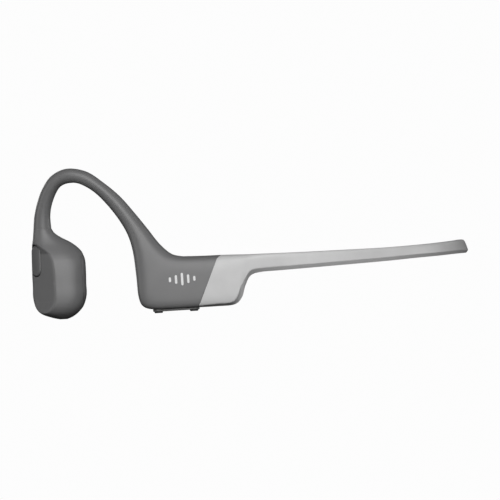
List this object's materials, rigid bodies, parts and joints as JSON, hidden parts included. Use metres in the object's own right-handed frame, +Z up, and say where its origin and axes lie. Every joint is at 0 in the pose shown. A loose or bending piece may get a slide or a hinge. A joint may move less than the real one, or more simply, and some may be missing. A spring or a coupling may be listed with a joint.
{
  "type": "bone conduction headphones",
  "caption": "Open-ear bone conduction headphones: cheek pods on over-ear hooks, housings behind the ears and a springy neckband, with a side button and volume keys.",
  "frame": {"origin": "under the middle of the bounding box, at the surface that the headphones stand on", "axes": "+X from the pods to the nape of the neckband, +Y to the wearer's right, +Z up"},
  "size_m": [0.1503, 0.1192, 0.0516],
  "materials": {
    "dark_silicone": "matte moulded silicone",
    "light_silicone": "matte moulded silicone",
    "pad_silicone": "soft-touch silicone",
    "dark_plastic": "fine texture",
    "core_plastic": "plain moulded",
    "titanium": "drawn wire",
    "steel": "plain",
    "copper": "enamelled winding",
    "gold_plate": "gold-plated",
    "circuit_board": "solder mask",
    "lead_jacket": "plain",
    "battery_foil": "pouch foil",
    "light_pipe": "frosted"
  },
  "bodies": {
    "left_side": {"left_pod_shell": "dark_silicone", "left_contact_pad": "pad_silicone", "left_coil_bracket": "circuit_board", "left_voice_coil": "copper", "left_suspension_spring": "steel", "left_microphone": "steel", "multifunction_switch": "steel", "multifunction_board": "circuit_board", "left_hook_cover": "dark_silicone", "left_hook_wire": "titanium", "left_hook_lead": "lead_jacket", "left_core_outer": "core_plastic", "left_core_inner": "core_plastic", "battery_cell": "battery_foil", "battery_board": "circuit_board", "band_sleeve_left": "light_silicone", "band_wire_left": "titanium", "band_lead_left": "lead_jacket"},
    "right_side": {"right_pod_shell": "dark_silicone", "right_contact_pad": "pad_silicone", "right_coil_bracket": "circuit_board", "right_voice_coil": "copper", "right_suspension_spring": "steel", "right_microphone": "steel", "right_hook_cover": "dark_silicone", "right_hook_wire": "titanium", "right_hook_lead": "lead_jacket", "right_core_outer": "core_plastic", "right_core_inner": "core_plastic", "main_board": "circuit_board", "radio_shield": "steel", "key_bezel": "dark_plastic", "volume_up_switch": "steel", "volume_down_switch": "steel", "charge_pin_front": "gold_plate", "charge_pin_rear": "gold_plate", "charge_port_magnet": "steel", "status_light": "light_pipe", "band_sleeve_right": "light_silicone", "band_wire_right": "titanium", "band_lead_right": "lead_jacket"},
    "left_magnet_unit": {"left_magnet_yoke": "steel", "left_magnet": "steel", "left_pole_plate": "steel"},
    "right_magnet_unit": {"right_magnet_yoke": "steel", "right_magnet": "steel", "right_pole_plate": "steel"},
    "multifunction_cap": {"multifunction_button": "dark_silicone"},
    "volume_up_cap": {"volume_up_key": "dark_plastic"},
    "volume_down_cap": {"volume_down_key": "dark_plastic"}
  },
  "joints": [
    {"name": "band_flex", "type": "hinge", "parent": "left_side", "child": "right_side", "pos_m": [0.0752, 0, 0.017], "axis": [0, 0, -1], "range_deg": [0, 25], "stiffness_Nm_per_rad": 0.5},
    {"name": "multifunction_press", "type": "slide", "parent": "left_side", "child": "multifunction_cap", "axis": [0.7653, 0.6421, -0.045], "range_m": [0, 0.00035], "stiffness_N_per_m": 4000},
    {"name": "volume_up_press", "type": "slide", "parent": "right_side", "child": "volume_up_cap", "axis": [0, 0, 1], "range_m": [0, 0.0003], "stiffness_N_per_m": 4000},
    {"name": "volume_down_press", "type": "slide", "parent": "right_side", "child": "volume_down_cap", "axis": [0, 0, 1], "range_m": [0, 0.0003], "stiffness_N_per_m": 4000},
    {"name": "left_magnet_float", "type": "slide", "parent": "left_side", "child": "left_magnet_unit", "axis": [-0.2588, -0.9659, 0], "range_m": [-0.0002, 0.0002], "stiffness_N_per_m": 1800},
    {"name": "right_magnet_float", "type": "slide", "parent": "right_side", "child": "right_magnet_unit", "axis": [-0.2588, 0.9659, 0], "range_m": [-0.0002, 0.0002], "stiffness_N_per_m": 1800}
  ]
}
